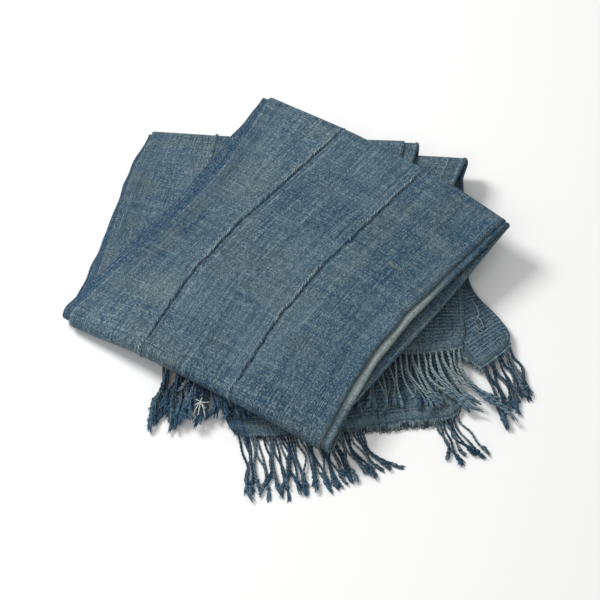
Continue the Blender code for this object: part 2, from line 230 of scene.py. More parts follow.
def bandAt(row, u):
    if "angle" in row:
        return turnRow(row["index"], row["angle"], u)
    return flatRow(row["index"], row["part"], u, row["beyond"])


# places across the band of its folds, seams and strips' middles, and of its last selvedge
def knotsAt(row):
    selvedge, left, right, last = (np.interp(row["way"], longFolds[:, 0], longFolds[:, k]) for k in range(1, 5))
    right = right + row.get("bulge", 0.0)
    turn = left + cloth["spacing"] / 2
    second, first = selvedge - 2 * cloth["strip"], selvedge - cloth["strip"]
    inner = right - neckRun - roll["radius"]
    knots = [turn, turn + (second - turn) / 3, second, (first + second) / 2, first, (first + selvedge) / 2]
    return knots + [selvedge, inner], last


# each strip's way across the band: sheet, from fold or seam, to fold or seam
sections = (
    (("top", 6, 5), ("top", 5, 4)),
    (("top", 4, 3), ("top", 3, 2)),
    (("top", 2, 1), ("top", 1, 0), ("turn", 0, 0), ("middle", 0, 1)),
    (("middle", 1, 2), ("middle", 2, 3)),
    (("middle", 3, 4), ("middle", 4, 5)),
    (("middle", 5, 6), ("middle", 6, 7), ("roll", 7, 7), ("bottom", 7, 6)),
    (("bottom", 6, 5), ("bottom", 5, 4)),
    (("bottom", 4, 3), ("bottom", 3, 2)),
    (("bottom", 2, 1), ("bottom", 1, 0), ("bottom", 0, "last")),
)
heightOf = {"top": cloth["spacing"], "middle": 0.0, "bottom": -cloth["spacing"]}
ridgeSide = {"top": 1.0, "middle": 1.0, "bottom": -1.0}  # a seam's ridge stands on this face
# how far across the whole cloth each fold or seam comes
acrossAt = {
    "top": {6: 0, 5: 60, 4: 120, 3: 180, 2: 240, 1: 285, 0: 330},
    "middle": {0: 334, 1: 360, 2: 420, 3: 480, 4: 540, 5: 600, 6: 660, 7: 682},
    "bottom": {7: 696, 6: 720, 5: 780, 4: 840, 3: 900, 2: 960, 1: 1005, 0: 1055, "last": cloth["width"]},
}


# place in the band, height in it, the way the cloth heads, and how far across the whole cloth
def placeAcross(section, share, knots, last):
    sheet, a, b = section
    half = cloth["spacing"] / 2
    if sheet == "turn":
        angle = math.pi * (0.5 + share)
        return knots[0] + half * np.cos(angle), half + half * np.sin(angle), math.pi * (1 + share), 330 + 4 * share
    if sheet == "roll":
        heading = lean - share * (math.pi + 2 * lean)
        u = knots[7] + neckRun - roll["radius"] * np.sin(heading)
        return u, roll["radius"] * np.cos(heading) - half, heading, 682 + 14 * share
    end = last if b == "last" else knots[b]
    table = acrossAt[sheet]
    heading = 0.0 if sheet == "middle" else math.pi
    u = knots[a] + share * (end - knots[a])
    return u, heightOf[sheet] + 0 * share, heading + 0 * share, table[a] + share * (table[b] - table[a])


# relief in mm: the seams' ridges, puckers beside them and soft unevenness
relief = dict(seam=0.3, topSeam=0.8, seamWidth=1.4, groove=0.7, pucker=0.45, puckerPitch=13.0,
              topRipple=0.9, swell=2.4)


def unevenness(x, y):
    return np.sin(x + 1.1 * np.sin(0.7 * y)) * np.cos(0.8 * y + 0.9 * np.sin(0.6 * x + 1.0))


# one where the sheet is the throw's upper face, fading into its two end folds
def topShare(way):
    return ease((way - 1.98) / 0.08) * (1.0 - ease((way - 2.94) / 0.06))


# soft hollows in the upper face: place across at its start and end, part of the way, depth, width
hollows = (
    (128.0, 0.10, 136.0, 0.62, 0.8, 11.0),
    (143.0, 0.62, 128.0, 1.00, 0.7, 12.0),
    (-40.0, 0.55, 60.0, 0.98, 0.6, 22.0),
    (-150.0, 0.20, -96.0, 0.75, 0.6, 18.0),
    (70.0, 0.05, 20.0, 0.40, 0.6, 20.0),
)


# distance to the nearest line between two strips, and whether it is a seam and not a selvedge
def besideSeam(across):
    half = cloth["strip"] / 2
    return (across + half) % cloth["strip"] - half, (across > 30) & (across < cloth["width"] - 30)


def reliefAt(sheet, u, across, along, way):
    beside, inner = besideSeam(across)
    seam = np.where(inner, np.abs(beside), 60.0)
    top = topShare(way) if sheet == "top" else 0.0
    ridge = relief["seam"] + (relief["topSeam"] + 0.25 * math.sin(along / 7.3)) * top
    pucker = relief["pucker"] * top * np.sin(2 * math.pi * along / relief["puckerPitch"] + across / 9.0)
    height = ridge * np.exp(-(seam / relief["seamWidth"]) ** 2) + pucker * np.exp(-(seam / 11.0) ** 2)
    height -= relief["groove"] * top * inner * np.exp(-((beside + 3.1) / 1.5) ** 2)
    if sheet != "top":
        return height
    height += relief["topRipple"] * top * (0.5 + 0.5 * unevenness(u / 34.0, along / 41.0))
    part = way - 2.0
    for startU, startPart, endU, endPart, depth, width in hollows:
        share = (part - startPart) / (endPart - startPart)
        line = startU + share * (endU - startU)
        ends = float(ease(share * 3.0 + 0.2) * ease((1.0 - share) * 3.0 + 0.2))
        height -= depth * top * ends * np.exp(-((u - line) / width) ** 2)
    return height


# how far the cloth's two uneven ends wander, toward the far side or the near one
def hemWave(row, u):
    if "part" not in row or (row["index"] == 0) == (row["index"] == 5):
        return 0.0 * u
    part = row["part"] if row["index"] == 0 else 1.0 - row["part"]
    distance = part * layerLengths[row["index"]]
    return 2.0 * unevenness(u / 15.0 + row["index"], u / 27.0) * math.exp(-(distance / 24.0) ** 2)


# both faces of one strip along one row, and how far across the cloth each point is
def clothLines(row, number, shares):
    knots, last = knotsAt(row)
    along = row.get("along", 0.0)
    parts = [placeAcross(section, share, knots, last) for section, share in zip(sections[number], shares)]
    u, h, heading, across = (np.concatenate([part[k] for part in parts]) for k in range(4))
    sheets = [section[0] for section in sections[number]]
    lift = np.concatenate([
        reliefAt(sheet, part[0], part[3], along, row["way"]) * ridgeSide.get(sheet, 0.0)
        for sheet, part in zip(sheets, parts)
    ])
    swings = np.concatenate([
        np.full(len(part[0]), sheet not in ("top", "turn")) for sheet, part in zip(sheets, parts)
    ])
    common = 0.30 * unevenness(u / 47.0, along / 60.0)
    common += relief["swell"] * topShare(row["way"]) * (0.5 + 0.5 * unevenness(u / 61.0 + 0.6, along / 72.0))
    beside, inner = besideSeam(across)
    selvedge = np.exp(-(across / 9.0) ** 2) + np.exp(-((cloth["width"] - across) / 9.0) ** 2)
    seamSwerve = 0.5 * math.sin(along / 19.0) + 0.45 * math.sin(along / 5.7 + 1.4 * math.sin(along / 31.0))
    edgeSwerve = 0.9 * math.sin(along / 14.0 + 2.0 * math.sin(along / 47.0))
    swerve = seamSwerve * (np.exp(-(beside / 7.0) ** 2) * inner) + edgeSwerve * selvedge
    side = np.sin(heading) * cloth["thick"] / 2
    rise = -np.cos(heading) * cloth["thick"] / 2
    base, facing = bandAt(row, np.concatenate([u + side, u - side]) + np.tile(swerve, 2))
    height = np.tile(h + common + lift, 2) + np.concatenate([rise, -rise])
    points = base + height[:, None] * facing
    if row["index"] == 0 and "part" in row:
        target, fade, held = swing(u, row["part"] * layerLengths[0] + row["beyond"])
        move = (fade * swings)[:, None] * (target - bandAt(row, held)[0][:, :2])
        points[:, :2] += np.tile(move, (2, 1))
    points[:, 1] += np.tile(hemWave(row, u), 2)
    return points[:len(u)], points[len(u):], across


# even cells with closer ones beside each seam, as parts of each section
def sharesFor(number):
    near = np.array([0.15, 1.0, 2.0, 3.3, 5.5]) / 60
    shares = []
    for k, (sheet, a, b) in enumerate(sections[number]):
        if sheet in ("turn", "roll"):
            steps = 8 if sheet == "turn" else 12
            shares.append(np.linspace(0, 1, steps + 1)[1:-1])
            continue
        inside = np.linspace(0, 1, 11)
        if k == 0 and number > 0:
            inside = np.concatenate([near, inside[inside > 0.12]])
        if k == len(sections[number]) - 1 and number < 8:
            inside = np.concatenate([inside[inside < 0.88], 1 - near[::-1]])
        if k > 0 and sections[number][k - 1][0] not in ("turn", "roll"):
            inside = inside[1:]
        shares.append(inside)
    return shares


# rows from the upper end to the lower one, each with its distance along the cloth
def allRows(spacing=9.0, turnSteps=12):
    rows = []
    for index in range(6):
        count = max(round(layerLengths[index] / spacing), 4)
        rows += [flat(index, part) for part in np.linspace(0, 1, count + 1)]
        if index < 5:
            rows += [turning(index, math.pi * (0.5 - step / turnSteps)) for step in range(1, turnSteps)]
    spots = np.array([bandAt(row, np.array([0.0]))[0][0] for row in rows])
    along = np.concatenate([[0], np.cumsum(np.linalg.norm(np.diff(spots, axis=0), axis=1))])
    for row, distance in zip(rows, along):
        row["along"] = float(distance)
    return rows


rows = allRows()
clothLength = rows[-1]["along"]
print("cloth", round(clothLength), "mm long", len(rows), "rows")


# a screen colour as the linear numbers a shader wants
def linearOf(code):
    channels = [int(code[k:k + 2], 16) / 255 for k in (0, 2, 4)]
    return tuple(c / 12.92 if c <= 0.04045 else ((c + 0.055) / 1.055) ** 2.4 for c in channels) + (1.0,)


# a node with its settings; a link is an output or a plain value for an input
def addNode(tree, kind, settings=None, links=None):
    node = tree.nodes.new(kind)
    for name, value in (settings or {}).items():
        setattr(node, name, value)
    for name, value in (links or {}).items():
        if isinstance(value, bpy.types.NodeSocket):
            tree.links.new(value, node.inputs[name])
        else:
            node.inputs[name].default_value = value
    return node


def mathNode(tree, operation, first, second=0.0, third=0.0):
    node = addNode(tree, "ShaderNodeMath", {"operation": operation}, {0: first, 1: second, 2: third})
    return node.outputs[0]


def times(tree, first, second):
    return mathNode(tree, "MULTIPLY", first, second)


def timesPlus(tree, first, second, third):
    return mathNode(tree, "MULTIPLY_ADD", first, second, third)


def minus(tree, first, second):
    return mathNode(tree, "SUBTRACT", first, second)


def mixColour(tree, amount, first, second):
    node = addNode(tree, "ShaderNodeMix", {"data_type": "RGBA"}, {0: amount, 6: first, 7: second})
    return node.outputs[2]


def smoothBand(tree, value, low, high, toLow=0.0, toHigh=1.0):
    node = addNode(tree, "ShaderNodeMapRange", {"interpolation_type": "SMOOTHSTEP"},
                   {0: value, 1: low, 2: high, 3: toLow, 4: toHigh})
    return node.outputs[0]


# one random tone for each whole number or pair of them
def toneOf(tree, number, dimensions="1D"):
    socket = "W" if dimensions == "1D" else "Vector"
    node = addNode(tree, "ShaderNodeTexWhiteNoise", {"noise_dimensions": dimensions}, {socket: number})
    return node.outputs[0]


# noise stretched to cells of these sizes in metres
def streaks(tree, point, perX, perY, detail, seed):
    cells = addNode(tree, "ShaderNodeVectorMath", {"operation": "MULTIPLY_ADD"},
                    {0: point, 1: (1 / perX, 1 / perY, 1.0), 2: (seed, seed * 1.7, 0)})
    noise = addNode(tree, "ShaderNodeTexNoise", {"noise_dimensions": "2D"},
                    {"Vector": cells.outputs[0], "Scale": 1.0, "Detail": detail, "Roughness": 0.55})
    return noise.outputs[0]


def newMaterial(name, roughness, specular=0.5):
    material = bpy.data.materials.new(name)
    material.use_nodes = True
    shader = material.node_tree.nodes["Principled BSDF"]
    shader.inputs["Roughness"].default_value = roughness
    shader.inputs["Specular IOR Level"].default_value = specular
    return material, material.node_tree, shader


def finishMaterial(tree, shader, colour, height, strength, distance):
    tree.links.new(colour, shader.inputs["Base Color"])
    bump = addNode(tree, "ShaderNodeBump", {}, {"Strength": strength, "Distance": distance, "Height": height})
    tree.links.new(bump.outputs[0], shader.inputs["Normal"])


# the navy also paints the shadow beside each seam, the worn pale also paints light on the roll beside the upper
# face, and the blue paints shade along the upper face's selvedge
indigo = {
    "dark": "2e4d62", "mid": "536c7b", "pale": "718690", "aged": "5d6c6b", "navyAndShade": "1c3b55", "worn": "a9b2ab",
    "thread": "94a4a6", "hem": "6a8085", "green": "7a8982", "paintedShadeBlue": "2c5570", "deep": "234a69",
    "yellow": "93936c", "brown": "5f5d57",
}
weave = {"warpPitch": 0.0012, "weftPitch": 0.0013, "ribPitch": 0.0056, "ribsFrom": 0.012, "ribsTo": 0.105}

# noise over the cloth: cell across and along in metres, detail, seed
noiseCells = {
    "fade": (0.10, 0.16, 3.0, 3.0), "patch": (0.045, 0.10, 2.0, 11.0), "aged": (0.07, 0.09, 2.0, 41.0),
    "warp": (0.0022, 0.060, 2.0, 5.0), "fine": (0.0014, 0.011, 1.0, 15.0), "wide": (0.012, 0.30, 2.0, 7.0),
    "weft": (0.10, 0.0030, 2.0, 9.0), "band": (0.30, 0.018, 1.0, 19.0), "slubs": (0.0090, 0.0016, 1.0, 23.0),
    "warpRun": (0.0035, 0.045, 1.0, 2.0), "weftRun": (0.030, 0.0035, 1.0, 31.0), "seamShadowPatches": (0.1, 0.006, 1.0, 51.0),
}

# worn and stained places, and painted shade along the upper face's selvedge beside the roll (the blue ones):
# across, along, half width, half length in mm, colour, strength
marks = (
    (258, 792, 26, 30, "green", 0.50),
    (225, 800, 30, 46, "pale", 0.35),
    (54, 972, 13, 3, "yellow", 0.42),
    (36, 985, 16, 2.5, "yellow", 0.30),
    (194, 1045, 42, 34, "dark", 0.40),
    # painted shade: the upper face darkened along its selvedge, where it dips beside the roll, and at its far
    # corner
    (6, 845, 13, 120, "paintedShadeBlue", 0.60),
    (10, 1075, 22, 40, "paintedShadeBlue", 0.65),
    (36, 1029, 30, 16, "green", 0.35),
    (118, 914, 14, 12, "brown", 0.30),
    (272, 996, 30, 40, "green", 0.30),
    (150, 905, 30, 60, "pale", 0.25),
    (80, 1085, 40, 26, "dark", 0.30),
)


# the mark's strength inside it, fading to nothing at an uneven edge
def softSpot(tree, across, along, noise, mark):
    x, y, width, length = (value / 1000 for value in mark[:4])
    sideways = timesPlus(tree, across, 1 / width, -x / width)
    lengthways = timesPlus(tree, along, 1 / length, -y / length)
    squared = timesPlus(tree, sideways, sideways, times(tree, lengthways, lengthways))
    ragged = timesPlus(tree, noise, 1.4, squared)
    return smoothBand(tree, ragged, 1.75, 0.55, 0.0, mark[5])


def tinted(tree, colour, name, amount):
    return mixColour(tree, amount, colour, linearOf(indigo[name]))


# faded hand-woven indigo cotton: matt, streaked along the warp, ribbed and darker at its ends
def clothMaterial():
    material, tree, shader = newMaterial("Faded indigo cotton", 0.92, 0.2)
    shader.inputs["IOR"].default_value = 1.5
    uv = addNode(tree, "ShaderNodeTexCoord").outputs["UV"]
    split = addNode(tree, "ShaderNodeSeparateXYZ", {}, {0: uv})
    across, along = split.outputs[0], split.outputs[1]
    fromEnd = mathNode(tree, "MINIMUM", along, minus(tree, clothLength / 1000, along))
    noise = {name: streaks(tree, uv, *cell) for name, cell in noiseCells.items()}

    # each thread has its own tone, shown in patches, and so has each crossing
    indexes, lines, waves = [], [], []
    for way, kind in ((across, "warp"), (along, "weft")):
        indexes.append(mathNode(tree, "FLOOR", times(tree, way, 1 / weave[kind + "Pitch"])))
        shown = smoothBand(tree, noise[kind + "Run"], 0.36, 0.62)
        lines.append(times(tree, minus(tree, toneOf(tree, indexes[-1]), 0.5), shown))
        waves.append(mathNode(tree, "SINE", times(tree, way, 2 * math.pi / weave[kind + "Pitch"])))
    crossing = addNode(tree, "ShaderNodeCombineXYZ", {}, {0: indexes[0], 1: indexes[1]}).outputs[0]
    crossTone = toneOf(tree, crossing, "2D")
    grain = timesPlus(tree, crossTone, 0.66, 0.17)
    grain = timesPlus(tree, lines[0], 0.50, timesPlus(tree, lines[1], 0.34, grain))

    tone = timesPlus(tree, noise["fade"], 0.55, times(tree, noise["patch"], 0.45))
    for name, weight in (("wide", 0.42), ("weft", 0.20), ("band", 0.34), ("warp", 0.34)):
        tone = timesPlus(tree, minus(tree, noise[name], 0.5), weight, tone)
    tone = smoothBand(tree, tone, 0.24, 0.72)
    colour = mixColour(tree, tone, linearOf(indigo["dark"]), linearOf(indigo["mid"]))
    colour = tinted(tree, colour, "aged", smoothBand(tree, noise["aged"], 0.48, 0.68, 0.0, 0.45))
    colour = tinted(tree, colour, "pale", smoothBand(tree, noise["fine"], 0.52, 0.74, 0.0, 0.50))
    colour = tinted(tree, colour, "navyAndShade", smoothBand(tree, noise["fine"], 0.46, 0.26, 0.0, 0.40))
    for mark in marks:
        colour = tinted(tree, colour, mark[4], softSpot(tree, across, along, noise["patch"], mark))

    # pale dashes in rows on darker cloth near each hem, and a plain edge; the swung sheets are darkest
    ribNoise = times(tree, minus(tree, noise["fade"], 0.5), 0.06)
    ended = smoothBand(tree, mathNode(tree, "ADD", fromEnd, ribNoise), weave["ribsTo"], weave["ribsTo"] - 0.035)
    plainEnd = smoothBand(tree, fromEnd, weave["ribsFrom"] + 0.004, weave["ribsFrom"] - 0.004)
    rib = timesPlus(tree, fromEnd, 2 * math.pi / weave["ribPitch"], times(tree, noise["band"], 3.0))
    dashes = smoothBand(tree, mathNode(tree, "SINE", rib), 0.30, 0.95)
    dashes = times(tree, dashes, smoothBand(tree, crossTone, 0.15, 0.65, 0.40, 1.0))
    ribbed = times(tree, dashes, times(tree, ended, minus(tree, 1.0, plainEnd)))
    swung = times(tree, smoothBand(tree, across, 0.330, 0.336), smoothBand(tree, along, 0.5, 0.3))
    colour = tinted(tree, colour, "deep", times(tree, ended, timesPlus(tree, swung, 0.52, 0.10)))
    colour = tinted(tree, colour, "thread", times(tree, ribbed, 0.85))
    colour = tinted(tree, colour, "hem", times(tree, plainEnd, 0.45))

    # the last selvedge is dark, and the roll beside the upper face is worn pale, made paler still as painted light
    # on the band that faces up
    colour = tinted(tree, colour, "deep", smoothBand(tree, across, 1.026, 1.040, 0.0, 0.80))
    rolled = times(tree, smoothBand(tree, across, 0.656, 0.668), smoothBand(tree, across, 0.704, 0.692))
    upperFace = times(tree, smoothBand(tree, along, 0.745, 0.80), smoothBand(tree, along, 1.02, 0.93))
    rubbedAndLit = smoothBand(tree, noise["patch"], 0.3, 0.6, 0.40, 0.72)
    colour = tinted(tree, colour, "worn", times(tree, times(tree, rolled, upperFace), rubbedAndLit))

    # a painted shadow line on one side of each seam, and a paler ridge on it
    beside = timesPlus(tree, across, 1000 / cloth["strip"], 0.5)
    beside = minus(tree, mathNode(tree, "FRACT", beside), 0.5)
    shadowed = times(tree, smoothBand(tree, beside, -0.034, -0.024), smoothBand(tree, beside, -0.008, -0.016))
    shadowed = times(tree, shadowed, smoothBand(tree, noise["seamShadowPatches"], 0.35, 0.6, 0.15, 0.70))
    lifted = times(tree, smoothBand(tree, beside, -0.014, -0.006), smoothBand(tree, beside, 0.026, 0.012))
    colour = tinted(tree, colour, "navyAndShade", shadowed)
    colour = tinted(tree, colour, "thread", times(tree, lifted, 0.18))

    colour = tinted(tree, colour, "thread", smoothBand(tree, grain, 0.50, 0.98, 0.0, 0.66))
    colour = tinted(tree, colour, "navyAndShade", smoothBand(tree, grain, 0.50, 0.04, 0.0, 0.66))
    colour = tinted(tree, colour, "thread", smoothBand(tree, noise["slubs"], 0.62, 0.76, 0.0, 0.26))

    height = timesPlus(tree, times(tree, *waves), 0.25, times(tree, grain, 0.7))
    for rise, weight in ((noise["fine"], 0.6), (noise["weft"], 0.6), (ribbed, 1.6)):
        height = timesPlus(tree, rise, weight, height)
    finishMaterial(tree, shader, colour, height, 0.9, 0.0007)
    return material


# twisted dyed cotton yarn: matt, each strand its own tone, with painted shade between its two plies, and bluer at
# its tip
def yarnMaterial(name, low, high, tip, pliesShade):
    material, tree, shader = newMaterial(name, 0.9, 0.2)
    uv = addNode(tree, "ShaderNodeTexCoord").outputs["UV"]
    split = addNode(tree, "ShaderNodeSeparateXYZ", {}, {0: uv})
    strand = mathNode(tree, "FLOOR", split.outputs[0])
    faded = times(tree, mathNode(tree, "GREATER_THAN", strand, 30.5), 0.38)
    flecks = addNode(tree, "ShaderNodeTexNoise", {"noise_dimensions": "2D"},
                     {"Vector": uv, "Scale": 260.0, "Detail": 1.0}).outputs[0]
    tone = timesPlus(tree, toneOf(tree, strand), 0.38, timesPlus(tree, flecks, 0.4, faded))
    colour = mixColour(tree, smoothBand(tree, tone, 0.20, 0.98), linearOf(low), linearOf(high))
    colour = mixColour(tree, smoothBand(tree, split.outputs[1], 0.045, 0.075, 0.0, 0.55), colour, linearOf(tip))
    turn = minus(tree, minus(tree, split.outputs[0], strand), 0.5)
    ply = mathNode(tree, "COSINE", timesPlus(tree, turn, 4000.0 * math.pi, -0.75 * math.pi))
    # painted shade in the groove between the two plies
    colour = mixColour(tree, smoothBand(tree, ply, 0.0, -0.95, 0.0, 0.75), colour, linearOf(pliesShade))
    finishMaterial(tree, shader, colour, timesPlus(tree, ply, 0.6, flecks), 0.5, 0.0003)
    return material


clothLook = clothMaterial()
yarnLook = yarnMaterial("Twisted indigo yarn", "233e52", "96a6a6", "4a6e88", "182d3e")
seamLook = yarnMaterial("Faded sewing yarn", "4f6b80", "a3b3b8", "a3b3b8", "34505f")
paleLook = yarnMaterial("Undyed cotton yarn", "b4b9b1", "e6e6dd", "e6e6dd", "8d9a99")


def addMesh(name, points, faces, material, uv=None):
    mesh = bpy.data.meshes.new(name)
    mesh.from_pydata(((np.asarray(points) - middle) * 0.001).tolist(), [], np.asarray(faces).tolist())
    mesh.materials.append(material)
    mesh.polygons.foreach_set("use_smooth", np.ones(len(mesh.polygons), dtype=bool))
    if uv is not None:
        corners = np.empty(len(mesh.loops), dtype=np.int32)
        mesh.loops.foreach_get("vertex_index", corners)
        layer = mesh.uv_layers.new(name="UVMap")
        layer.data.foreach_set("uv", (np.asarray(uv) * 0.001)[corners].ravel())
    thing = bpy.data.objects.new(name, mesh)
    bpy.context.scene.collection.objects.link(thing)
    return thing


# quads of a closed sheet of two faces and a rim; points are all of one face, then all of the other
def sheetFaces(long, wide):
    index = np.arange(long * wide).reshape(long, wide)
    a, b, c, d = index[:-1, :-1], index[:-1, 1:], index[1:, 1:], index[1:, :-1]
    front = np.stack([a, b, c, d], -1).reshape(-1, 4)
    under = long * wide
    back = front[:, ::-1] + under
    rim = []
    for line in (index[:, 0][::-1], index[0, :], index[:, -1], index[-1, :][::-1]):
        rim.append(np.stack([line[1:], line[:-1], line[:-1] + under, line[1:] + under], -1))
    return np.concatenate([front, back, *rim])


# turn the faces round if the body is inside out
def faceOut(points, faces):
    a, b, c, d = (points[faces[:, k]] for k in range(4))
    volume = np.sum(a * (np.cross(b, c) + np.cross(c, d)))
    return faces if volume > 0 else faces[:, ::-1]


# points, faces and map of one strip along these rows
def sheetBody(number, rowList):
    shares = sharesFor(number)
    outer, inner, acrosses = zip(*(clothLines(row, number, shares) for row in rowList))
    points = np.concatenate([*outer, *inner])
    points[:, 2] = np.maximum(points[:, 2], 0.05)
    along = np.repeat([row["along"] for row in rowList], len(acrosses[0]))
    faces = faceOut(points, sheetFaces(len(rowList), len(acrosses[0])))
    return points, faces, np.tile(np.stack([np.concatenate(acrosses), along], -1), (2, 1))


strips = []
for number in range(9):
    points, faces, uv = sheetBody(number, rows)
    strips.append(addMesh(f"cloth_strip_{number + 1}", points, faces, clothLook, uv))
print("strips", sum(len(s.data.polygons) * 2 for s in strips), "triangles")

# whip stitches over the seams, in mm
stitch = dict(pitch=3.7, hiddenPitch=9.0, reach=1.25, slant=1.7, lift=0.9, radius=0.7)


# points along a seam on its outer face, the way out of the cloth there and the way across it
def seamLine(number):
    edge = len(sections[number]) - 1
    shares = [np.array([0.9, 1.0]) if k == edge else np.zeros(1) for k in range(edge + 1)]
    lines = [clothLines(row, number, shares) for row in rows]
    outer = np.array([line[0][-2:] for line in lines])
    inner = np.array([line[1][-1] for line in lines])
    return outer[:, 1], unit(outer[:, 1] - inner), unit(outer[:, 1] - outer[:, 0])


# fringe strands, in mm; a knot comes at a share of the length
fringe = dict(slot=4.5, radius=1.42, length=84.0, pitch=11.0, sides=8, step=1.2, gap=0.3, depth=3.0, clump=23.0,
              knotFrom=0.80, knotSwell=1.15, knotReach=2.6, knotYarn=0.85, tuft=8, loosePlies=0.4)
# where the fringe has worn away: hem, sheets, from and to across the band
bare = (("lower", ("top", "middle", "bottom"), 14.0, 127.0), ("upper", ("middle", "bottom"), 46.0, 112.0))
# how far strands lean sideways, as a share of their length, at places across the band
leanBy = {
    "upperTop": ((-170.0, -0.10), (-60.0, 0.0), (80.0, 0.06), (110.0, 0.42), (170.0, 0.80)),
    "upperUnder": ((-170.0, -0.10), (20.0, 0.0), (112.0, -0.20), (172.0, -0.08)),
    "lower": ((-170.0, -0.16), (-110.0, -0.12), (-70.0, 0.0), (-30.0, 0.05), (14.0, 0.60), (127.0, 0.12),
              (172.0, 0.58)),
}
# and their lengths there, as a share of the full one
lengthBy = {
    "upperTop": ((-170.0, 1.12), (-40.0, 1.0), (110.0, 1.0), (170.0, 1.16)),
    "upperUnder": ((-170.0, 1.08), (-40.0, 0.94), (100.0, 0.94), (172.0, 0.84)),
    "lower": ((-170.0, 1.0), (-60.0, 0.98), (0.0, 0.78), (127.0, 0.70), (170.0, 0.74)),
}


# points of a line at some places, given the places of its own points
def pointsAt(places, ownPlaces, line):
    return np.stack([np.interp(places, ownPlaces, line[:, axis]) for axis in range(3)], -1)


def sidewaysOf(heading):
    return np.array([-heading[1], heading[0], 0.0])


# a round or two-ply tube along a line, closed at both ends; twist is the plies' turn at each point
def tube(line, radii, sides, twist=None):
    tangent = np.gradient(line, axis=0)
    tangent /= np.linalg.norm(tangent, axis=1)[:, None] + 1e-9
    sideways = np.cross(tangent, [0.0, 0.0, 1.0])
    weak = np.linalg.norm(sideways, axis=1) < 0.05
    sideways[weak] = np.cross(tangent[weak], [0.0, 1.0, 0.0])
    sideways = unit(sideways)
    upward = np.cross(sideways, tangent)
    angle = (np.arange(sides) + 0.5) * 2 * math.pi / sides - math.pi / 2
    turned = np.zeros(len(line)) if twist is None else twist
    ply = 0.27 if twist is not None else 0.0
    radius = radii[:, None] * (1.0 + ply * np.cos(2 * (angle[None, :] - turned[:, None])))
    ring = np.cos(angle)[None, :, None] * sideways[:, None, :] + np.sin(angle)[None, :, None] * upward[:, None, :]
    points = (line[:, None, :] + radius[..., None] * ring).reshape(-1, 3)
    index = np.arange(len(line) * sides).reshape(len(line), sides)
    following = np.roll(index, -1, axis=1)
    faces = np.stack([index[:-1], index[1:], following[1:], following[:-1]], -1).reshape(-1, 4)
    pairs = [(-step % sides, step + 1) for step in range(sides // 2)]
    caps = [(a, b, d, c) for (a, b), (c, d) in zip(pairs[:-1], pairs[1:])]
    ends = [index[0][list(cap)] for cap in caps] + [index[-1][list(cap[::-1])] for cap in caps]
    return points, np.concatenate([faces, np.array(ends)])


# many small tubes gathered into one mesh
class Bundle:
    def __init__(self):
        self.points, self.faces, self.uv, self.count = [], [], [], 0

    def add(self, line, radii, sides, tone, start=0.0, twist=None):
        points, faces = tube(line, radii, sides, twist)
        travelled = start + np.concatenate([[0], np.cumsum(np.linalg.norm(np.diff(line, axis=0), axis=1))])
        turns = np.full(len(line), 0.25) if twist is None else twist / (2 * math.pi)
        x = (tone % 61) * 1000.0 + 500.0 + (np.arange(sides)[None, :] / sides - turns[:, None]).ravel()
        self.addBody(points, faces, np.stack([x, np.repeat(travelled, sides)], -1))

    def addBody(self, points, faces, uv):
        self.points.append(points)
        self.faces.append(faces + self.count)
        self.uv.append(uv)
        self.count += len(points)

    def put(self, name, material):
        points = np.concatenate(self.points)
        points[:, 2] = np.maximum(points[:, 2], 0.05)
        return addMesh(name, points, np.concatenate(self.faces), material, np.concatenate(self.uv))


# the row this far beyond an end of the cloth
def hemRow(hem, beyond):
    row = flat(0, 0.0, -beyond) if hem == "upper" else flat(5, 1.0, beyond)
    row["along"] = 0.0 if hem == "upper" else clothLength
    return row


def hemPoint(hem, sheet, u, beyond):
    row = hemRow(hem, beyond)
    spot = np.array([u])
    base, facing = bandAt(row, spot)
    point = base + heightOf[sheet] * facing
    if hem == "upper" and sheet != "top":
        target, fade, held = swing(spot, -beyond)
        point[..., :2] += fade[..., None] * (target - bandAt(row, held)[0][..., :2])
    point[..., 1] += hemWave(row, spot)
    return point[0]


# height of what a strand lies on: the floor, the layer on it, or other strands
def restsOn(hem, sheet, root):
    if hem == "lower":
        return 0.0
    leftEdge = leftOf(0.0, root[1], (-214.0, 264.0), (-84.0, -200.0)) - 12.0
    rightEdge = leftOf(0.0, root[1], (160.0, 216.0), (200.0, -181.0)) + 10.0
    height = 2 * halfStack + 0.5 if leftEdge < root[0] < rightEdge else 0.0
    return height + (3.0 if sheet == "top" else 0.0)


def isBare(hem, sheet, u):
    return any(hem == bareHem and sheet in sheets and low < u < high for bareHem, sheets, low, high in bare)


# slots of a sheet's strands: each sheet of the band takes every third, so that they stand apart
def strandPlaces(hem, sheet, low, high):
    slot = ("top", "middle", "bottom").index(sheet)
    first = math.ceil(((low + 2.0) / fringe["slot"] - slot) / 3)
    last = math.floor(((high - 2.0) / fringe["slot"] - slot) / 3)
    found = [3 * k + slot for k in range(first, last + 1)]
    if hem == "upper" and sheet == "top":
        places = [k + 1.5 for k in found]
        found += [k for k in places if max(low + 2.0, 55.0) < k * fringe["slot"] < min(high - 2.0, 176.0)]
    return [k for k in found if not isBare(hem, sheet, k * fringe["slot"])]


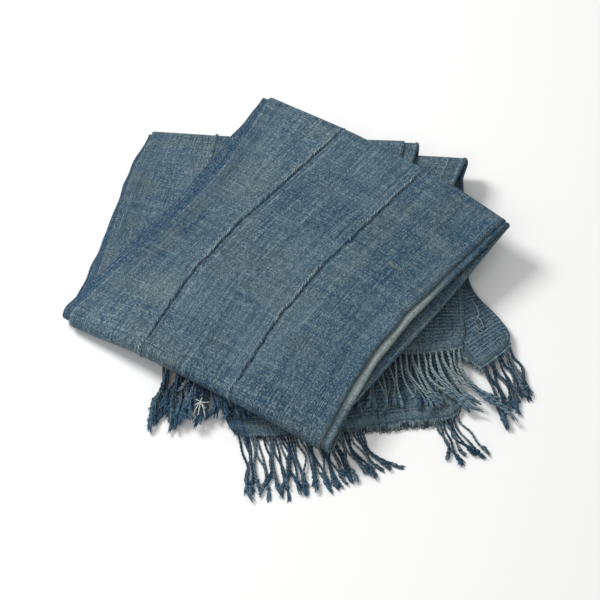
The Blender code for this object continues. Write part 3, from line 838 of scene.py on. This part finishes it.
# middle line of a strand from the cloth's edge to its tip
def strandLine(hem, sheet, slot, shares):
    u = slot * fringe["slot"]
    root = hemPoint(hem, sheet, u, fringe["gap"] + fringe["depth"])
    along = root - hemPoint(hem, sheet, u, fringe["gap"])
    along[2] = 0.0
    along = unit(along)
    group = "lower" if hem == "lower" else ("upperTop" if sheet == "top" else "upperUnder")
    length = fringe["length"] * (0.93 + 0.09 * math.sin(1.7 * slot) * math.cos(0.6 * slot))
    length *= np.interp(u, *np.array(lengthBy[group]).T)
    strandLean = np.interp(u, *np.array(leanBy[group]).T)
    phase = u / 46.0 + (1.2 if hem == "upper" else 3.6)
    sideways = sidewaysOf(along)
    sway = 4.0 * shares * math.sin(phase) + length * strandLean * shares ** 2
    sway += 1.3 * np.sin(2 * math.pi * (1.2 * shares + 0.37 * slot)) * ease(shares * 3)
    place = u + 5.0 * math.sin(u / 31.0)
    centre = (math.floor(place / fringe["clump"]) + 0.5) * fringe["clump"]
    drawn = 0.30 if hem == "upper" and u < -40.0 else 0.12
    sway += (centre - place) * (drawn + 0.22 * math.sin(2.3 * slot)) * ease(shares * 1.1)
    sway += 3.0 * np.sin(2 * math.pi * (0.8 + 0.3 * math.sin(3.1 * slot)) * shares + slot) * ease(shares * 2)
    length *= 1.0 + 0.09 * math.sin(5.1 * slot)
    line = root + shares[:, None] * length * along + sway[:, None] * sideways
    level = restsOn(hem, sheet, root) + fringe["radius"]
    if hem == "upper" and sheet == "top":
        fallen = ease((shares - 0.2) / 0.38)
        line[:, 2] = (root[2] + 0.5 * ease(shares / 0.2)) * (1 - fallen) + level * fallen
    else:
        line[:, 2] = root[2] + (level - root[2]) * ease(shares / 0.2)
    line[:, 2] += (0.0, 1.5, 2.6)[int(2 * slot) % 3] * ease(shares * 1.6 - 0.2)
    return line, length


# short broken yarns along the hem, thicker where the fringe has worn away
def frayEnds(bundle, rng, hem, sheet, low, high):
    spot = low + 1.0
    while spot < high - 1.0:
        worn = isBare(hem, sheet, spot)
        root = hemPoint(hem, sheet, spot, fringe["gap"] + fringe["depth"] - 0.8)
        along = unit(root - hemPoint(hem, sheet, spot, fringe["gap"]))
        sideways = sidewaysOf(along)
        share = np.linspace(0, 1, 6)
        reach = (3.0 + 5.5 * rng.random()) if worn else (1.5 + 2.5 * rng.random())
        curl = (rng.random() - 0.5) * (9.0 if worn else 4.0)
        line = root + along * (reach * np.sin(share * 2.0))[:, None] + sideways * (curl * share ** 1.5)[:, None]
        line[:, 2] += (rng.random() - 0.5) * 1.2 - 1.0 * share + 0.4
        line[:, 2] = np.maximum(line[:, 2], 0.5)
        bundle.add(line, np.linspace(0.6, 0.28, 6), 4, 700 + int(spot * 3) % 97, 0.0)
        spot += (1.5 if worn else 3.4) * (0.6 + 0.8 * rng.random())


# the yarn wound round a strand as its knot, and the loose fibres below it
def knotAndTuft(bundle, rng, knot, heading, slot, tone, run, spare):
    crossing = sidewaysOf(heading)
    wound = np.linspace(0, 2.3 * math.pi, 15)[:, None]
    loop = knot + heading * ((wound / (2.3 * math.pi) - 0.5) * 3.2) + crossing * (1.9 * np.cos(wound + slot))
    loop += np.array([0, 0, 1.0]) * (1.5 * np.sin(wound + slot) + 0.4)
    loop[:, 2] = np.maximum(loop[:, 2], knot[2] - 0.3)
    bundle.add(loop, np.full(15, fringe["knotYarn"]), 6, tone, run)
    tip = np.linspace(0, 1, 6)
    turnAside = (rng.random() - 0.5) * 9.0
    for fibre in range(fringe["tuft"]):
        spread = (fibre - 3.5) / 3.5 * 1.5 + (rng.random() - 0.5) * 0.6
        reach = spare * (0.55 + 0.55 * rng.random())
        curl = turnAside + (rng.random() - 0.5) * 3.5
        aside = spread * ease(tip * 2.5) + curl * tip ** 2
        end = knot + heading * (0.8 + tip * reach)[:, None] + crossing * aside[:, None]
        end[:, 2] = np.maximum(knot[2] - 0.1 + (rng.random() - 0.45) * 2.2 * ease(tip * 2) - 0.8 * tip, 0.6)
        bundle.add(end, np.interp(tip, [0, 0.7, 1], [0.85, 0.75, 0.3]), 4, tone, run + 6)


# a ply that has come away from its strand
def loosePly(bundle, rng, line, fine, crossing, tone, length):
    aside = crossing * (2.2 * (rng.random() - 0.5))
    cut = 0.45 + 0.5 * rng.random()
    loose = np.linspace(0, cut, 22)
    yarn = pointsAt(loose, fine, line)
    bend = (rng.random() - 0.5) * 16.0
    yarn += aside * ease(loose * 6)[:, None] + crossing * (bend * loose ** 2)[:, None]
    yarn[:, 2] = np.maximum(yarn[:, 2] - 0.5 + 1.0 * ease(loose * 5), 0.8)
    radii = np.interp(loose, [0, cut * 0.85, cut], [0.8, 0.8, 0.4])
    bundle.add(yarn, radii, 5, tone + 7, 0.0, 3.0 * loose * length / 4.0)


# one twisted, knotted strand; copies stray from the first one of their slot and may be shorter
def addStrand(bundle, rng, hem, sheet, slot, copy):
    fine = np.linspace(0, 1, 400)
    straight, whole = strandLine(hem, sheet, slot, fine)
    upperTop = hem == "upper" and sheet == "top"
    pale = upperTop and slot * fringe["slot"] > 20.0
    tone = (31 if pale else 0) + (int(2 * slot) * 7 + 5 * copy) % 29
    cut = 1.0 - 0.12 * copy * rng.random()
    line = pointsAt(fine * cut, fine, straight)
    stray = 9.0 if copy > 0 else (5.0 if upperTop else 2.0)
    line[:, 0] += (rng.random() - 0.5) * stray * ease(fine * 1.5)
    line[:, 0] += (rng.random() - 0.5) * 16.0 * (copy > 0) * fine ** 2
    line[:, 2] += 1.9 * copy * ease(fine * 5)
    length = whole * cut
    knotAt = fringe["knotFrom"] + 0.05 * rng.random()
    count = int(length * knotAt / fringe["step"])
    shares = np.linspace(0, knotAt + 0.03, count)
    run = shares * length
    radii = np.full(count, fringe["radius"] * 0.82)
    radii *= 1.0 + 0.06 * np.sin(run / 3.1 + slot)
    radii += fringe["knotSwell"] * np.exp(-((shares - knotAt) * length / fringe["knotReach"]) ** 2)
    twist = run * 2 * math.pi / fringe["pitch"]
    bundle.add(pointsAt(shares, fine, line), radii, fringe["sides"], tone, 0.0, twist)
    heading = unit(line[int(knotAt * 399)] - line[int(knotAt * 399) - 8])
    knot, spare = pointsAt(knotAt, fine, line), length * (1.0 - knotAt)
    knotAndTuft(bundle, rng, knot, heading, slot, tone, knotAt * length, spare)
    if rng.random() < fringe["loosePlies"]:
        loosePly(bundle, rng, line, fine, sidewaysOf(heading), tone, length)


# all the strands and broken yarns at one end of one strip; the left end of the upper hem is a dense tangle
def buildFringe(hem, number):
    bundle = Bundle()
    rng = np.random.default_rng(7 * number + (100 if hem == "upper" else 0))
    knots, last = knotsAt(rows[0] if hem == "upper" else rows[-1])
    for sheet in ("top", "middle", "bottom"):
        own = [s for s in sections[number] if s[0] == sheet]
        if not own:
            continue
        ends = [knots[own[0][1]], last if own[-1][2] == "last" else knots[own[-1][2]]]
        low, high = min(ends), max(ends)
        frayEnds(bundle, rng, hem, sheet, low, high)
        for slot in strandPlaces(hem, sheet, low, high):
            u = slot * fringe["slot"]
            copies = 5 if hem == "upper" and u < -40.0 else (2 if hem == "upper" and 95.0 < u else 1)
            for copy in range(copies):
                addStrand(bundle, rng, hem, sheet, slot, copy)
    return bundle


seams = []
alongRows = np.array([row["along"] for row in rows])
faceFrom = layerLengths[0] + layerLengths[1]
faceTo = faceFrom + layerLengths[2] + 70.0
for number in range(8):
    spots, outs, overs = seamLine(number)
    rng = np.random.default_rng(40 + number)
    bundle = Bundle()
    place = 3.0
    while place < clothLength - 3.0:
        clustered = 0.5 + 0.5 * math.sin(place / 6.3 + 2.0 * math.sin(place / 23.0) + number)
        size = 0.30 + 0.95 * clustered * rng.random() + 0.50 * rng.random() + (1.0 if rng.random() > 0.98 else 0.0)
        here = pointsAt(place, alongRows, spots)
        out, over = (unit(pointsAt(place, alongRows, line)) for line in (outs, overs))
        there = unit(pointsAt(place + 1.0, alongRows, spots) - here)
        share = np.linspace(-1, 1, 5)[:, None]
        raised = stitch["lift"] * size * (1 - share ** 2) - 0.25 * share ** 2
        aside = 1.3 * (rng.random() - 0.5) * over
        line = here + aside + over * stitch["reach"] * size * share
        line = line + there * (stitch["slant"] * share) + out * raised
        bundle.add(line, np.full(5, stitch["radius"] * (0.7 + 0.4 * size)), 6, int(place / 3), 0.0)
        pitch = stitch["pitch"] if faceFrom < place < faceTo else stitch["hiddenPitch"]
        place += pitch * (0.75 + 0.5 * rng.random())
    seams.append(bundle.put(f"whip_stitched_seam_{number + 1}", seamLook))
print("seams", sum(len(s.data.polygons) * 2 for s in seams), "triangles")

fringes = []
for hem in ("upper", "lower"):
    for number in range(9):
        bundle = buildFringe(hem, number)
        edge = [hemRow(hem, fringe["gap"]), hemRow(hem, fringe["gap"] + fringe["depth"])]
        points, faces, uv = sheetBody(number, edge)
        bundle.addBody(points, faces, uv)
        thing = bundle.put(f"knotted_fringe_{hem}_{number + 1}", yarnLook)
        thing.data.materials.append(clothLook)
        for polygon in thing.data.polygons[-len(faces):]:  # the narrow woven edge
            polygon.material_index = 1
        fringes.append(thing)
print("fringes", sum(len(f.data.polygons) * 2 for f in fringes), "triangles")

# single loose yarns: points in mm from the middle of the picture, radius, tone
looseYarns = {
    "left_fringe_tie": dict(look=paleLook, radius=0.6, lines=(
        ((-118, -158, 15), (-114, -163, 19), (-110, -167, 19), (-106, -172, 16)),
        ((-109, -156, 16), (-111, -163, 20), (-112, -170, 19), (-114, -180, 14)),
        ((-118, -167, 16), (-112, -166, 20), (-106, -165, 18), (-102, -163, 16)),
        ((-112, -165, 19), (-108, -172, 17), (-106, -182, 13)),
        ((-112, -165, 19), (-117, -173, 16), (-120, -180, 13)),
    )),
    "right_selvedge_loops": dict(look=yarnLook, radius=0.55, lines=(
        ((196, 6, 15), (203, -2, 16), (210, -16, 14), (216, -34, 12), (214, -44, 12), (206, -46, 13),
         (202, -38, 14), (205, -30, 15)),
        ((200, -10, 14), (206, -22, 15), (209, -34, 14), (205, -42, 14), (200, -38, 14)),
        ((203, -36, 14), (209, -40, 15), (213, -50, 12), (207, -56, 13), (203, -50, 14)),
        ((201, -56, 13), (207, -60, 14), (209, -68, 12), (204, -72, 13)),
    )),
    "near_corner_loop": dict(look=seamLook, radius=0.6, lines=(
        ((24, -221, 12), (31, -225, 8), (40, -223, 5), (47, -212, 7), (45, -204, 10)),
        ((20, -224, 12), (24, -232, 6), (27, -240, 2), (26, -248, 1.2)),
    )),
}
yarns = []
for name, yarn in looseYarns.items():
    bundle = Bundle()
    for k, corners in enumerate(yarn["lines"]):
        corners = np.array(corners, dtype=float)
        share = np.linspace(0, len(corners) - 1, 8 * len(corners))
        line = pointsAt(share, range(len(corners)), corners)
        for smoothing in range(6):
            line[1:-1] = (line[:-2] + 2 * line[1:-1] + line[2:]) / 4
        bundle.add(line, np.full(len(line), yarn["radius"]), 6, 30 + k, 0.0, share * 4.0)
    yarns.append(bundle.put(name, yarn["look"]))

# a little curl of sewing yarn at the right seam's near end
nub = Bundle()
coil = np.linspace(0, 2.5 * math.pi, 20)
curl = np.stack([11.0 + 1.7 * np.cos(coil), -207.5 + 1.9 * np.sin(coil), 29.0 + 0.16 * coil], -1)
nub.add(curl, np.full(20, 0.8), 6, 3)
yarns.append(nub.put("sewing_yarn_nub", seamLook))

for yarn in yarns:
    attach(yarn, "root")
for number, strip in enumerate(strips):
    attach(strip, "root")
    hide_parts(f"strip_{number + 1}")
for k, thing in enumerate(fringes):
    hem, number = ("upper", "lower")[k // 9], k % 9 + 1
    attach(thing, "root")
    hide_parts(f"fringe_{hem}_{number}")
for number, seam in enumerate(seams):
    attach(seam, "root")

# plain white paper, matt, that takes the soft shadow
floorLook, floorTree, floorShader = newMaterial("Matt white paper", 0.9)
floorShader.inputs["Base Color"].default_value = linearOf("fbfbfa")
floorCorners = np.array([(-1, -1, 0), (1, -1, 0), (1, 1, 0), (-1, 1, 0)]) * 4000 + middle
floor = addMesh("floor", floorCorners, np.array([(0, 1, 2, 3)]), floorLook)

world = bpy.data.worlds.new("Studio")
bpy.context.scene.world = world
world.use_nodes = True
world.node_tree.nodes["Background"].inputs["Color"].default_value = (1.0, 1.0, 1.0, 1.0)
world.node_tree.nodes["Background"].inputs["Strength"].default_value = 0.42


def aimFrom(thing, place, aim=(0.0, 0.0, 0.0)):
    thing.location = place
    thing.rotation_euler = (Vector(aim) - Vector(place)).to_track_quat("-Z", "Y").to_euler()
    bpy.context.scene.collection.objects.link(thing)


softBoxes = {
    "key_light": dict(place=(-1.7, 1.1, 2.0), size=(1.0, 1.0), power=64),
    "front_light": dict(place=(-0.6, -1.9, 2.2), size=(1.6, 1.2), power=16),
}
for name, box in softBoxes.items():
    light = bpy.data.lights.new(name, "AREA")
    light.shape = "RECTANGLE"
    light.size, light.size_y = box["size"]
    light.energy = box["power"]
    aimFrom(bpy.data.objects.new(name, light), box["place"])
bpy.context.scene.view_settings.view_transform = "Standard"

eye = dict(place=(0.005033, -1.546969, 1.838507), aim=(0.005033, -0.004279, 0.0), lens=122.04)
cameraData = bpy.data.cameras.new("Camera")
cameraData.lens = eye["lens"]
cameraData.sensor_width = 36.0
camera = bpy.data.objects.new("Camera", cameraData)
aimFrom(camera, eye["place"], eye["aim"])
bpy.context.scene.camera = camera
